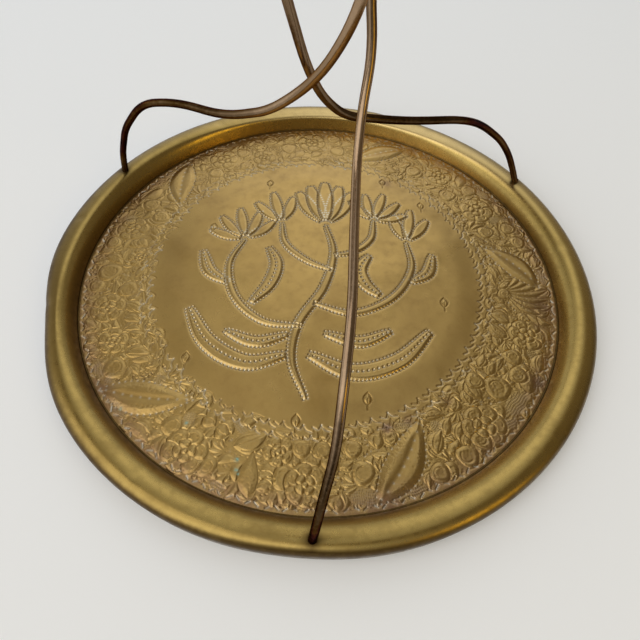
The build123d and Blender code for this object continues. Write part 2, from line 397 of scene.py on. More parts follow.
def hatch(relief, middle, length, width, turn, pitch=1.05, depth=0.13):
    """A patch of bare ground with fine crossed lines, fading at its edge."""
    cells = relief.window(middle[None], max(length, width))
    x, y = relief.x[cells] - middle[0], relief.y[cells] - middle[1]
    u = x * math.cos(turn) + y * math.sin(turn)
    v = y * math.cos(turn) - x * math.sin(turn)
    inside = smooth(1 - (2 * u / length) ** 2 - (2 * v / width) ** 2, 0.0, 0.7)
    u, v = u + 0.35 * np.sin(0.9 * v + turn), v + 0.3 * np.sin(0.8 * u)
    lines = np.maximum(np.cos(TURN * u / pitch), 0.7 * np.cos(TURN * v / (1.25 * pitch)))
    hatched = smooth(lines, 0.0, 1.0)
    relief.raised[cells] *= 1 - inside
    relief.cut[cells] = relief.cut[cells] * (1 - inside) + depth * inside * hatched
    # A painted glint on the lines
    relief.bright[cells] = np.maximum(relief.bright[cells], 0.16 * inside * hatched)
    relief.plain[cells] = np.minimum(relief.plain[cells], 1 - inside)


# The border's ornament, placed by angle in degrees and radius in millimetres.
# Beaded, twin and plain leaves: base, tip, width and bend; small leaves: the way of the curl last
BEADED_LEAVES = [
    ((-141.6, 139.6), (-124.0, 108.0), 18.5, -0.05),
    ((-76.8, 139.0), (-59.2, 106.4), 18.0, -0.07),
    ((-1.6, 134.0), (15.2, 106.4), 17.0, -0.08),
    ((64.5, 137.0), (81.0, 107.4), 17.5, -0.05),
    ((137.0, 138.0), (154.0, 108.6), 17.5, -0.05),
]
# Rosettes: place, size, petals and turn
ROSETTES = [
    ((-163.0, 126.5), 19.5, 6, 10), ((-152.4, 126.0), 16.0, 5, 30), ((-117.3, 130.6), 22.0, 6, 5),
    ((-97.6, 114.8), 14.5, 5, 0), ((-90.6, 128.6), 19.5, 6, 15), ((-47.6, 128.8), 22.5, 6, 0),
    ((-18.0, 125.6), 20.0, 6, 12), ((30.4, 121.6), 22.0, 6, 20), ((49.5, 126.0), 19.0, 6, 0),
    ((96.0, 126.5), 20.5, 6, 14), ((114.5, 114.5), 16.5, 5, 30), ((127.6, 126.0), 20.0, 6, 0),
    ((168.5, 126.0), 19.5, 6, 20), ((179.0, 112.5), 15.0, 5, 0),
]
# Shells: place, size, turn and the way of the curl
SHELLS = [
    ((-175.2, 128.0), 14.2, 20, 1), ((-168.4, 116.0), 12.0, 200, -1), ((-145.0, 129.4), 13.1, 60, 1),
    ((-123.4, 124.4), 11.4, 0, 1), ((-111.6, 131.8), 10.8, 180, -1), ((-95.3, 126.4), 12.0, 30, 1),
    ((-87.2, 112.4), 9.7, 120, 1), ((-92.4, 111.8), 9.7, 60, -1), ((-78.2, 124.6), 12.0, 150, 1),
    ((-79.6, 112.0), 9.7, 40, -1), ((-62.6, 134.6), 10.3, 90, 1), ((-55.4, 134.2), 12.0, 40, -1),
    ((-37.0, 121.2), 14.8, 0, 1), ((-30.8, 127.2), 10.8, 60, -1), ((-39.2, 110.8), 10.8, 200, 1),
    ((-26.4, 121.0), 10.8, 10, 1), ((14.6, 132.4), 10.8, 90, 1), ((20.2, 131.6), 10.8, 30, -1),
    ((20.8, 116.0), 11.4, 180, 1), ((38.6, 130.0), 12.0, 20, 1), ((41.0, 114.5), 12.5, 150, -1),
    ((57.6, 117.0), 12.0, 0, 1), ((86.6, 117.5), 12.0, 40, -1), ((88.5, 132.5), 10.8, 90, 1),
    ((104.5, 120.5), 12.5, 0, 1), ((110.0, 132.0), 11.4, 60, -1), ((120.6, 126.0), 10.8, 200, 1),
    ((133.5, 115.5), 11.4, 20, -1), ((157.5, 126.5), 12.0, 60, 1), ((161.0, 114.5), 11.4, 0, -1),
    ((174.5, 133.0), 10.3, 120, 1),
]
SMALL_LEAVES = [
    ((-180.5, 134.0), (-177.6, 121.5), 7.2, 1), ((-173.0, 112.5), (-178.4, 108.5), 6.5, -1),
    ((-166.6, 138.6), (-163.4, 132.6), 6.5, 1), ((-160.6, 139.0), (-157.6, 132.4), 6.8, -1),
    ((-154.6, 140.0), (-153.8, 133.4), 5.7, 1), ((-151.6, 140.0), (-151.4, 132.6), 5.7, -1),
    ((-158.6, 118.6), (-155.6, 110.0), 6.2, 1), ((-153.4, 116.6), (-151.4, 109.0), 6.0, -1),
    ((-148.4, 121.6), (-144.6, 113.0), 6.5, 1), ((-144.8, 120.6), (-141.8, 112.4), 6.0, 1),
    ((-163.4, 114.6), (-166.4, 107.6), 6.2, 1), ((-136.0, 112.6), (-131.6, 106.6), 6.2, -1),
    ((-130.2, 134.6), (-125.6, 134.2), 5.5, 1), ((-122.8, 128.8), (-120.4, 140.0), 9.9, -1),
    ((-118.6, 113.0), (-114.6, 113.6), 8.8, 1), ((-114.4, 113.4), (-110.4, 113.8), 8.3, -1),
    ((-108.6, 118.2), (-102.4, 107.6), 11.2, -1), ((-100.4, 133.6), (-96.6, 132.0), 6.0, 1),
    ((-96.4, 140.2), (-96.0, 133.4), 5.5, 1), ((-93.6, 140.4), (-93.8, 134.0), 5.5, -1),
    ((-92.6, 121.4), (-93.8, 114.6), 6.5, 1), ((-84.4, 140.0), (-83.6, 132.6), 7.8, 1),
    ((-83.2, 120.6), (-79.6, 117.4), 5.5, -1), ((-84.4, 108.6), (-80.4, 107.0), 5.7, 1),
    ((-73.6, 114.6), (-71.2, 105.8), 8.1, 1), ((-58.6, 129.4), (-54.6, 125.4), 7.5, -1),
    ((-56.6, 121.0), (-52.4, 114.8), 7.0, 1), ((-51.0, 113.6), (-47.6, 108.0), 7.5, -1),
    ((-45.4, 116.6), (-43.0, 108.8), 7.0, 1), ((-35.4, 114.0), (-30.0, 114.4), 7.5, 1),
    ((-34.6, 107.6), (-29.6, 106.2), 6.2, -1), ((-27.4, 136.6), (-21.8, 136.0), 7.3, 1),
    ((-25.0, 112.4), (-21.0, 106.6), 7.0, -1), ((-18.6, 114.6), (-19.4, 105.8), 7.3, 1),
    ((-14.0, 114.6), (-13.0, 104.8), 7.5, -1), ((9.4, 136.8), (5.0, 135.4), 6.5, 1),
    ((18.0, 122.8), (22.6, 124.6), 6.5, 1), ((26.8, 107.6), (28.4, 101.4), 7.0, 1),
    ((35.6, 107.4), (36.8, 101.0), 7.0, -1), ((37.8, 122.6), (42.2, 124.0), 7.0, 1),
    ((25.4, 133.4), (30.2, 136.4), 6.8, -1), ((46.0, 114.6), (50.4, 109.4), 7.0, 1),
    ((54.6, 128.4), (59.8, 132.4), 7.5, -1), ((60.0, 124.4), (62.8, 115.6), 7.0, 1),
    ((62.2, 109.4), (66.8, 105.0), 6.2, -1), ((84.4, 138.0), (82.8, 131.4), 6.5, 1),
    ((92.4, 114.4), (96.8, 108.4), 7.0, -1), ((100.6, 110.4), (105.4, 107.6), 6.8, 1),
    ((101.6, 136.6), (105.6, 131.0), 7.0, 1), ((114.6, 138.0), (117.4, 130.4), 7.0, -1),
    ((121.8, 115.8), (125.6, 109.0), 7.0, 1), ((127.4, 108.6), (131.8, 107.2), 6.2, -1),
    ((134.4, 131.4), (136.8, 123.4), 6.8, 1), ((154.8, 137.0), (159.2, 135.0), 6.8, 1),
    ((163.6, 120.6), (160.2, 107.6), 7.0, -1), ((166.0, 114.6), (169.6, 108.0), 7.3, 1),
    ((171.4, 117.6), (174.4, 110.8), 6.8, -1), ((162.4, 137.4), (166.2, 138.6), 6.0, -1),
]
TWIN_LEAVES = [
    ((-108.4, 118.6), (-101.4, 106.8), 9.8, -0.14), ((-147.6, 122.4), (-144.0, 110.6), 8.6, 0.12),
    ((-163.6, 118.6), (-158.4, 108.4), 8.4, 0.14), ((-42.4, 118.8), (-38.8, 105.8), 8.8, 0.16),
    ((-21.0, 115.6), (-17.4, 103.4), 8.6, 0.12), ((-15.6, 115.4), (-14.2, 102.8), 8.2, -0.12),
    ((42.6, 117.6), (47.8, 108.4), 9.0, 0.14), ((104.0, 120.0), (107.6, 107.0), 9.0, -0.14),
    ((134.4, 119.0), (139.0, 108.6), 8.6, 0.14), ((-61.0, 126.6), (-56.4, 117.4), 8.4, 0.12),
]
PLAIN_LEAVES = [
    ((-101.2, 139.0), (-103.2, 117.6), 10.0, 0.06), ((-77.6, 131.6), (-79.0, 118.8), 8.6, 0.08),
    ((-33.6, 136.6), (-27.8, 131.4), 9.0, 0.08), ((-38.6, 126.4), (-35.2, 116.4), 12.0, 0.05),
    ((45.0, 138.6), (41.6, 126.0), 8.4, 0.08), ((99.4, 117.4), (103.0, 109.6), 7.4, 0.0),
    ((150.2, 131.4), (157.0, 136.6), 8.6, 0.1), ((-131.4, 139.4), (-124.6, 138.0), 6.0, 0.1),
    ((-56.8, 139.8), (-53.8, 129.8), 10.5, 0.05),
]
# Fans: root, size, spread, strokes, turn and bend
FANS = [
    ((-4.6, 111.0), 30.0, 92, 7, 14, -0.12), ((-60.8, 120.0), 14.0, 84, 5, 60, 0.1),
    ((23.0, 104.6), 15.0, 90, 4, -10, 0.12), ((71.0, 140.0), 15.0, 80, 5, 175, 0.1),
    ((145.0, 103.6), 15.0, 84, 5, 10, 0.1), ((118.6, 138.6), 13.0, 84, 4, 180, 0.1),
]
# Hatched patches: place, length, width and turn
HATCHES = [
    ((-146.4, 137.0), 14.0, 7.0, 84), ((-142.8, 133.6), 8.0, 6.0, 40), ((-135.0, 137.6), 16.0, 6.0, 92),
    ((-135.2, 113.4), 10.0, 7.0, 60), ((-121.4, 117.0), 9.0, 8.0, 30), ((-107.6, 137.6), 9.0, 5.0, 90),
    ((-108.8, 108.6), 10.0, 6.0, 70), ((-78.8, 135.4), 16.0, 10.0, 76), ((-69.6, 138.0), 20.0, 6.0, 90),
    ((-64.6, 107.6), 12.0, 6.0, 80), ((-57.0, 115.0), 8.0, 7.0, 20), ((-42.6, 137.0), 10.0, 6.0, 80),
    ((-37.6, 133.6), 20.0, 12.0, 84), ((-30.4, 138.4), 14.0, 5.0, 88), ((-23.0, 130.0), 8.0, 7.0, 50),
    ((2.0, 138.2), 13.0, 6.0, 90), ((24.8, 127.0), 10.0, 8.0, 20), ((35.0, 136.0), 12.0, 7.0, 84),
    ((53.0, 136.4), 14.0, 7.0, 88), ((78.8, 134.6), 12.0, 8.0, 80), ((92.0, 138.6), 14.0, 5.0, 90),
    ((122.0, 137.4), 14.0, 6.0, 86), ((144.0, 138.0), 12.0, 5.0, 90), ((165.0, 131.6), 9.0, 7.0, 30),
]
STRAY_RING = (-112.4, 138.3)
# Stains: angle, radius, spread and strength
TARNISH_SPOTS = [
    (-69.2, 105.6, 3.4, 0.9), (-62.8, 105.6, 2.6, 0.7), (-50.2, 107.8, 3.0, 0.5),
    (-142.0, 139.5, 5.0, 0.5), (-30.0, 137.5, 6.0, 0.6),
    (-8.0, 133.0, 9.0, 0.6), (-14.5, 131.5, 3.5, 0.5), (63.0, 94.0, 4.0, 0.5), (-75.0, 139.5, 9.0, 0.5),
]
VERDIGRIS_SPOTS = [
    (-105.4, 128.2, 0.9, 1.0), (-106.3, 123.6, 0.9, 1.0), (-104.8, 129.6, 0.6, 0.8),
    (-134.8, 136.6, 0.8, 0.5), (-121.2, 119.6, 0.8, 0.5),
]


def border_inner(angle):
    """Radius of the border's inner circle at an angle in degrees, about the tray's axis."""
    turn = np.radians(angle)
    shift = BORDER_INNER_CENTRE[0] * np.cos(turn) + BORDER_INNER_CENTRE[1] * np.sin(turn)
    return BORDER_INNER_RADIUS + shift


def fill_border(relief, rng, settings):
    """Leaves and petals in staggered rows, which the larger work is then drawn over."""
    for row, row_radius in enumerate(np.arange(*FILL_ROWS)):
        count = int(TURN * row_radius / (settings.fill_pitch / MM))
        for number in range(count):
            angle = 360 * (number + 0.5 * (row % 2)) / count + rng.uniform(-1.4, 1.4)
            middle = polar(angle, row_radius + rng.uniform(-1.6, 1.6))
            turn, size, kind = rng.uniform(0, TURN), rng.uniform(8.6, 11.6), rng.random()
            half = 0.55 * size * heading(turn)
            curl = 1 if rng.random() < 0.5 else -1
            if kind < 0.28:
                small_leaf(relief, middle - half, middle + half, 0.6 * size, 0.2, curl)
            elif kind < 0.44:
                twin_leaf(relief, middle - half, middle + half, 0.66 * size, 0.18, curl)
            elif kind < 0.64:
                shell(relief, middle, 0.9 * size, turn, curl)
            elif kind < 0.72:
                crescents(relief, middle, size, turn)
            elif kind < 0.82:
                palmette(relief, middle - 0.6 * half, 0.95 * size, turn, 4, 80, 0.08 * curl)


def draw_border(relief, settings):
    """The border: leaves, flowers and shells on a matted ground, between two punched rows."""
    rng = np.random.default_rng(settings.seed)
    fill_border(relief, rng, settings)
    for (angle, radius), length, width, turn in HATCHES:
        hatch(relief, polar(angle, radius), length, width, math.radians(angle + turn))
    for (angle, radius), size, spread, strokes, turn, bend in FANS:
        palmette(relief, polar(angle, radius), size, math.radians(angle + turn), strokes, spread,
                 bend)
    for base, tip, width, curl in SMALL_LEAVES:
        small_leaf(relief, polar(*base), polar(*tip), width, curl=curl)
    for base, tip, width, bend in TWIN_LEAVES:
        twin_leaf(relief, polar(*base), polar(*tip), width, bend)
    for base, tip, width, bend in PLAIN_LEAVES:
        relief.emboss(leaf_line(polar(*base), polar(*tip), width, bend), shoulder=3.2)
    for (angle, radius), size, turn, curl in SHELLS:
        shell(relief, polar(angle, radius), size, math.radians(angle + turn), curl)
    for (angle, radius), size, petals, turn in ROSETTES:
        rosette(relief, polar(angle, radius), size, petals, math.radians(angle + turn))
    for base, tip, width, bend in BEADED_LEAVES:
        beaded_leaf(relief, polar(*base), polar(*tip), width, bend)
    # One ring punch that missed its place
    relief.chase(arc_line(polar(*STRAY_RING), 1.25, 0, TURN, 20), 0.34, 0.34)
    # Two rows of small marks along the inner edge, the second between the first
    for number in range(settings.edge_marks):
        angle = 360 * number / settings.edge_marks - 180
        wobble = rng.uniform(-0.5, 0.5, 3)
        inner = border_inner(angle)
        bird(relief, angle + wobble[0], inner + 0.8 * wobble[1], 4.3, rng.uniform(0, 0.5))
        middle = angle + 180 / settings.edge_marks + wobble[2]
        bird(relief, middle, inner + SECOND_ROW + wobble[0], 3.5, rng.uniform(0, 0.5))
    # A zigzag of short strokes along the outer edge
    for number in range(settings.rim_marks):
        angle = 360 * number / settings.rim_marks
        lean = 0.6 if number % 2 else -0.6
        middle = polar(angle + rng.uniform(-0.3, 0.3), ZIGZAG_RADIUS + rng.uniform(-0.5, 0.5))
        half = rng.uniform(0.8, 1.4) * heading(math.radians(angle + 90) + lean)
        # Each stroke with a painted glint of random strength
        relief.chase(np.array([middle - half, middle + half]), 0.42, 0.28, rng.uniform(0.2, 0.8))


# The centre's spray, in millimetres: the radius of its dots
DOT_RADIUS = 0.64
# Each band's width and the points that it passes
STEM_BANDS = [
    (5.6, [(-4, -86), (-13, -64), (-11, -40), (2, -14), (7, 14), (1, 38)]),
    (5.0, [(-10, -42), (-32, -40), (-50, -24), (-57, 0), (-50, 22)]),
    (5.0, [(-3, -26), (20, -31), (43, -19), (56, 4), (54, 27)]),
    (4.8, [(6, 0), (-10, 7), (-24, 20), (-28, 38)]),
    (4.8, [(8, 12), (20, 16), (31, 28), (33, 45)]),
]
LEAF_BANDS = [
    (10.5, [(-16, -61), (-38, -67), (-60, -56), (-75, -34)]),
    (10.5, [(-4, -60), (20, -69), (45, -61), (64, -41)]),
    (9.0, [(-40, -28), (-31, -14), (-28, 2), (-34, 16)]),
    (9.0, [(36, -18), (27, -9), (24, 2), (30, 14)]),
    (8.0, [(-55, -14), (-68, -6), (-75, 10)]),
    (8.0, [(55, -6), (66, 2), (70, 17)]),
    (7.5, [(-16, -48), (-34, -54), (-52, -48)]),
    (7.5, [(4, -46), (24, -50), (42, -42)]),
]
# Flowers: their root, size, direction in degrees, petals and the angle between the outer ones
FLOWERS = [
    ((1, 38), 42, 93, 5, 62), ((-50, 22), 28, 105, 5, 120), ((54, 27), 30, 82, 3, 56),
    ((-28, 38), 30, 107, 3, 60), ((33, 45), 27, 74, 5, 116),
]
# Small drops with a tail
DROPS = [(-8, -98), (-72, 30), (74, -20), (66, 62), (-40, 76), (-70, -66), (28, -84), (40, 84)]


def spray(relief, settings):
    """The centre's own ornament: a spray of tulips, carnations and long leaves on one stem.

    Each band is drawn by two rows of punched dots, and the metal between them stands up a little.
    """
    pitch, depth = settings.dot_pitch / MM, settings.dot_depth / MM

    def band(points, width, vein=False):
        line = curve(points, 12)
        dense, way = along(line, 0.8)
        taper = np.sin(math.pi * np.linspace(0.06, 0.94, len(dense))) ** 0.5
        half = (width / 2 * taper)[:, None] * square_to(way.T).T
        outline = np.vstack([dense + half, (dense - half)[::-1]])
        relief.emboss(outline, rise=0.5, shoulder=2.0, depth=0.16, width=1.0)
        # The dots are painted pale: fresh metal with a painted glint
        relief.punch(along(np.vstack([outline, outline[:1]]), pitch)[0], DOT_RADIUS, depth, 0.75)
        if vein:
            relief.punch(along(line, 1.3 * pitch)[0][1:-1], DOT_RADIUS, depth, 0.75)

    for width, points in LEAF_BANDS:
        band(points, width, vein=True)
    for width, points in STEM_BANDS:
        band(points, width)
    for root, size, turn, petals, spread in FLOWERS:
        up = polar(turn, size)
        shares = np.linspace(-0.5, 0.5, petals)
        # The outer petals lie under the inner ones
        for share in shares[np.argsort(-abs(shares))]:
            out = polar(turn + spread * share, size)
            knee = root + 0.5 * out - 0.12 * (1 - abs(share)) * up
            band([root + 0.1 * out, knee, root + (1 - 0.25 * abs(share)) * out], 0.26 * size)
    for centre in np.array(DROPS, float):
        drop = leaf_line(centre - (0, 3.4), centre + (0, 3.4), 4.2, 0.0, 1.0)
        relief.emboss(drop, rise=0.25, depth=0.3)
        relief.chase(np.array([centre, centre - (0, 6.0)]), 0.34, 0.24)


class WorkedSheet:
    """The finished heights of the dish's two faces and the marks that its finish follows."""

    MATTING_SPREAD = 0.34
    MATTING_DEPTH = 0.32
    # How much of the metal stands up again beside a cut
    THROWN_UP = 0.4
    # How hard the hand pressed on the whole
    PRESSED = 1.34
    FACET_SPREAD = 0.32
    FACET_DEPTH = 0.26
    # The sheet stays this thick, and its faces this high
    THINNEST = 0.2
    LOWEST = 0.3

    def __init__(self, settings):
        relief = self.relief = Relief()
        draw_border(relief, settings)
        spray(relief, settings)
        rng = np.random.default_rng(settings.seed + 1)
        radius = np.hypot(relief.x, relief.y)
        inner = border_inner(np.degrees(np.arctan2(relief.y, relief.x)))
        border = smooth(radius, inner + 3, inner + 5)
        border = border * smooth(-radius, -BORDER_OUTER_RADIUS, -BORDER_OUTER_RADIUS + 2)
        ground = border * relief.plain
        # Matting: small pits thrown over the plain ground, thicker in some places than in others
        matting = np.clip(relief.thrown(rng, settings.matting_dots, self.MATTING_SPREAD), 0, 1.4)
        patches = smooth(relief.cloud(rng, 5.0), -1.2, 0.8)
        matting = matting * (0.75 * ground + 0.25 * border) * (0.35 + 0.65 * patches)
        cut = np.maximum(relief.cut, self.MATTING_DEPTH * matting)
        worked = relief.raised + self.THROWN_UP * relief.blur(cut, 0.9) - cut - 0.06 * ground
        # The hand pressed harder on the right and at the back
        slant = settings.heavier_right * relief.x + settings.heavier_back * relief.y
        worked = worked * (self.PRESSED + slant / FLOOR_RADIUS)
        bent = self.bent(settings, rng, radius, inner)
        # Small facets cut by the tool, thicker on the right than on the left; their pale colour is a
        # painted glint
        facets = np.clip(relief.thrown(rng, settings.facets, self.FACET_SPREAD), 0, 1)
        facets = facets * (0.8 * ground + 0.2 * border)
        facets = facets * (0.2 + 0.8 * smooth(relief.x, -60, 110))
        worked = worked - self.FACET_DEPTH * facets
        still = smooth(-radius, -FLOOR_RADIUS, -FLOOR_RADIUS + 8)
        self.top = np.maximum(worked + still * bent, self.LOWEST - SHEET)
        under = relief.blur(self.top, 1.2) + self.LOWEST
        self.under = np.minimum(under, SHEET + self.top - self.THINNEST) * still
        self.marks = {
            "recess": np.clip(relief.blur(worked, 0.8) - worked, -0.3, 0.3) / 0.3,
            "matting": np.clip(matting, 0, 1),
            # Pale metal in the punched dots and cut marks, with painted glints there and on the facets
            "bright": np.maximum(relief.bright, 0.7 * facets),
            "tarnish_and_shade": self.stained(TARNISH_SPOTS),
            "verdigris": self.stained(VERDIGRIS_SPOTS),
        }

    def bent(self, settings, rng, radius, inner):
        """How far the work has bent the whole sheet, which has buckled most round the spray."""
        relief = self.relief
        sway, ripple = np.tanh(relief.cloud(rng, 13.0)), np.tanh(relief.cloud(rng, 4.5))
        near = smooth(relief.blur(relief.bright, 6.0) * smooth(-radius, -104, -92), 0.0, 0.06)
        ripple = (1 + settings.buckle * near) * ripple
        crown = smooth(-radius, -inner - 1, -82)
        return (settings.sway * sway + settings.ripple * ripple + settings.crown * crown) / MM

    def stained(self, spots):
        """Round soft stains, each given by its angle, radius, spread and strength."""
        share = np.zeros_like(self.relief.cut)
        for angle, radius, spread, strength in spots:
            cells, stain = self.relief.spot(polar(angle, radius), spread)
            share[cells] = np.maximum(share[cells], strength * stain)
        return share


@cache
def worked_sheet():
    """The dish's relief, drawn once for all its pieces."""
    return WorkedSheet(bpy.context.scene.tray_dish)


def new_piece(name, points, faces, material, body):
    """A mesh piece in metres from points in millimetres and lists of faces of equal size."""
    mesh = bpy.data.meshes.new(name)
    sizes = np.concatenate([np.full(len(rows), rows.shape[1]) for rows in faces])
    corners = np.concatenate([rows.ravel() for rows in faces])
    mesh.vertices.add(len(points))
    mesh.vertices.foreach_set("co", (points * MM).astype(np.float32).ravel())
    mesh.loops.add(len(corners))
    mesh.loops.foreach_set("vertex_index", corners.astype(np.int32))
    mesh.polygons.add(len(sizes))
    starts = np.concatenate([[0], np.cumsum(sizes)[:-1]])
    mesh.polygons.foreach_set("loop_start", starts.astype(np.int32))
    mesh.polygons.foreach_set("loop_total", sizes.astype(np.int32))
    mesh.polygons.foreach_set("use_smooth", np.ones(len(sizes), bool))
    mesh.update(calc_edges=True)
    mesh.set_sharp_from_angle(angle=SHARP_FROM)
    if mesh.validate():
        raise RuntimeError(f"{name} has faces that had to be mended")
    mesh.materials.append(material)
    piece = bpy.data.objects.new(name, mesh)
    bpy.context.scene.collection.objects.link(piece)
    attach(piece, body)
    return piece


def set_marks(piece, values):
    """Store values, one for each vertex, as attributes that the finish reads."""
    for name, marks in values.items():
        attribute = piece.data.attributes.new(name, "FLOAT", "POINT")
        attribute.data.foreach_set("value", marks.astype(np.float32))


def quads(index):
    """The four-cornered faces of a grid of vertex numbers."""
    a, b = index[:-1, :-1], index[:-1, 1:]
    c, d = index[1:, 1:], index[1:, :-1]
    return np.stack([a, b, c, d], -1).reshape(-1, 4)


def sheet_piece(name, plan, material):
    """A closed piece of the worked sheet over a grid of places in plan.

    The upper face has every place of the grid. The under face has every third, and each face of
    the walls joins one of its edges to the three edges above.
    """
    sheet = worked_sheet()
    read = sheet.relief.read
    coarse = plan[::COARSE, ::COARSE]
    top = SHEET + read(sheet.top, plan)
    under = np.maximum(read(sheet.under, coarse), 0.0)
    points = np.vstack([
        np.concatenate([plan, top[..., None]], -1).reshape(-1, 3),
        np.concatenate([coarse, under[..., None]], -1).reshape(-1, 3),
    ])
    over = np.arange(top.size).reshape(top.shape)
    below = top.size + np.arange(under.size).reshape(under.shape)
    walls = []
    sides = (
        (over[0], below[0]), (over[:, -1], below[:, -1]),
        (over[-1, ::-1], below[-1, ::-1]), (over[::-1, 0], below[::-1, 0]),
    )
    for upper, lower in sides:
        run = [lower[:-1], lower[1:]]
        run += [upper[COARSE - step:len(upper) - step:COARSE] for step in range(COARSE)]
        run.append(upper[:-1:COARSE])
        walls.append(np.stack(run, 1))
    faces = [quads(over), quads(below)[:, ::-1], np.vstack(walls)]
    piece = new_piece(name, points, faces, material, "tray")
    marks = {key: np.concatenate([read(values, plan).ravel(), np.zeros(under.size)])
             for key, values in sheet.marks.items()}
    set_marks(piece, marks)
    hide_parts("tray_dish")
    return piece


def sheet_line(depth):
    """The sheet's section from the seam to the hem, this deep under its upper face.

    It is a chain of tangent arcs, each given by its middle, its radius and two angles in degrees.
    """
    wall = math.degrees(WALL_ANGLE)
    bead_height = RIM_HEIGHT - BEAD_RADIUS
    chain = [
        ((FLOOR_RADIUS, SHEET + CREASE_RADIUS), CREASE_RADIUS + depth, -90, wall - 90, 10),
        ((CROWN_RADIUS, bead_height), BEAD_RADIUS - depth, 90 + wall, 90, 26),
        ((CROWN_RADIUS, RIM_HEIGHT - EDGE_RADIUS), EDGE_RADIUS - depth, 90, 0, 14),
        ((TRAY_RADIUS - HEM_RADIUS, HEM_HEIGHT), HEM_RADIUS - depth, 0, -180, HEM_STEPS),
    ]
    parts = [np.array([[RIM_SEAM, SHEET - depth]])]
    for centre, radius, start, end, steps in chain:
        parts.append(arc_line(centre, radius, math.radians(start), math.radians(end), steps)[1:])
    line = np.vstack(parts)
    drop_top = len(line) - HEM_STEPS
    drop = np.linspace(line[drop_top], line[drop_top + 1], 5)[1:-1]
    return np.vstack([line[:drop_top + 1], drop, line[drop_top + 1:]])


# The rim's outer edge has been knocked flat: angle, half width in degrees and depth
FLATS = [(199.5, 16.0, 3.6), (-92.0, 16.0, 1.1), (62.0, 22.0, 0.8)]
# Dents in the rim's top: angle, radius, half width and depth
DENTS = [
    (-164.0, 157.2, 3.2, 0.5), (-120.0, 151.0, 2.6, 0.35), (-101.5, 149.0, 3.6, 0.3),
    (-40.0, 157.0, 2.6, 0.35), (8.0, 150.0, 3.0, 0.3), (75.0, 156.5, 3.0, 0.4),
    (123.0, 151.5, 2.8, 0.35), (172.0, 153.0, 2.4, 0.3),
]
FEET = ("front", "back_right", "back_left")


def flattened(angle):
    """How far the rim's outer edge has been knocked inwards, by angle in degrees."""
    total = np.zeros_like(angle)
    for middle, half, depth in FLATS:
        off = (angle - middle + 180) % 360 - 180
        total = total + depth * bell(off, half) ** 1.6
    return total


def broad(off, half):
    """1 over a broad middle, falling off beyond this half width."""
    return np.exp(-((off / half) ** 4))


# How far the rim's top leans inwards all round, at the front, at the back and on the left
LEAN, LEAN_FRONT, LEAN_BACK, LEAN_LEFT = 2.4, -2.0, 4.2, 1.3
# The inward slope of its top at the back, inside this radius and over this breadth
BACK_SLOPE, SLOPE_RADIUS, SLOPE_BREADTH = 0.17, 156.5, 9


def rim_piece(material, rounds):
    """The rim: the sheet's closed section carried round the axis, less its flats and dents."""
    section = np.vstack([sheet_line(0.0), sheet_line(SHEET)[::-1]])
    angle = np.arange(rounds)[None] * 360 / rounds
    reach, height = section[:, 0][:, None], section[:, 1][:, None]
    back = broad(angle - 88, 46)
    lean = LEAN + LEAN_FRONT * broad(angle - 270, 48) + LEAN_BACK * back
    lean = lean + LEAN_LEFT * bell(angle - 185, 34)
    top = np.clip((height - SHEET) / RIM_RISE, 0, 1) ** 3
    radius = reach - lean * top * smooth(-reach, -TRAY_RADIUS, -CROWN_RADIUS)
    radius = radius - smooth(reach, CROWN_RADIUS - 5, TRAY_RADIUS) * flattened(angle)
    turn = np.radians(angle)
    x, y = radius * np.cos(turn), radius * np.sin(turn)
    z = height - BACK_SLOPE * (back * top * np.clip(SLOPE_RADIUS - radius, 0, SLOPE_BREADTH))
    for spot_angle, spot_radius, half, depth in DENTS:
        middle = polar(spot_angle, spot_radius)
        z = z - depth * bell(np.hypot(x - middle[0], y - middle[1]), half) * smooth(z, 8, 10)
    points = np.stack([x, y, z], -1).reshape(-1, 3)
    index = np.arange(len(points)).reshape(x.shape)
    index = np.vstack([index, index[:1]])
    index = np.hstack([index, index[:, :1]])
    piece = new_piece("rim", points, [quads(index)[:, ::-1]], material, "tray")
    # The rim's marks: patina with painted shade, and a painted highlight at the back
    marks = {"tarnish_and_shade": rim_patina_and_shade(reach, height, angle, x, y, z),
             "bright": rim_painted_highlight(reach, height, angle) + 0 * x}
    set_marks(piece, {name: np.clip(values, 0, 1).ravel() for name, values in marks.items()})
    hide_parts("tray_dish")
    return piece


def rim_patina_and_shade(reach, height, angle, x, y, z):
    """Patina where no cloth reaches the rim, and painted shade: on its outer side, in its crease, on
    its left and round the rods' feet.
    """
    # Patina and painted shade on the outer side, darkest at its lowest edge
    side = 0.9 * smooth(reach, TRAY_RADIUS - 3.6, TRAY_RADIUS - 0.4) + smooth(-height, -2.5, -1.0)
    # Painted shade in the crease: dark on the left and at the front, and a little on the right
    crease = smooth(-reach, -FLOOR_RADIUS - 6.5, -FLOOR_RADIUS - 0.5)
    crease = crease * (0.12 + 0.6 * broad(angle - 235, 62) + 0.4 * bell(angle - 20, 24))
    # Painted shade on the rim's left, most towards its outer side, and a little at the front
    left = (0.12 + 0.36 * smooth(reach, 151.5, 157.0)) * bell(angle - 190, 52)
    left = left + 0.2 * bell(angle - 268, 30)
    soil_and_shade = side + crease + left * smooth(height, 1, 5)
    # Painted shadow round the rods' feet
    for foot in FEET:
        low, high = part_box(f"rim_washer_{foot}")
        far = np.hypot(x - (low.x + high.x) / 2 / MM, y - (low.y + high.y) / 2 / MM)
        soil_and_shade = soil_and_shade + 1.2 * bell(far, 3.3) * smooth(z, 7, 9)
    return soil_and_shade


def rim_painted_highlight(reach, height, angle):
    """A painted highlight on the rim's top, at the back."""
    top = smooth(reach, 147, 150) * smooth(-reach, -159.0, -155.5) * smooth(height, 6, 10)
    return broad(angle - 68, 42) * top


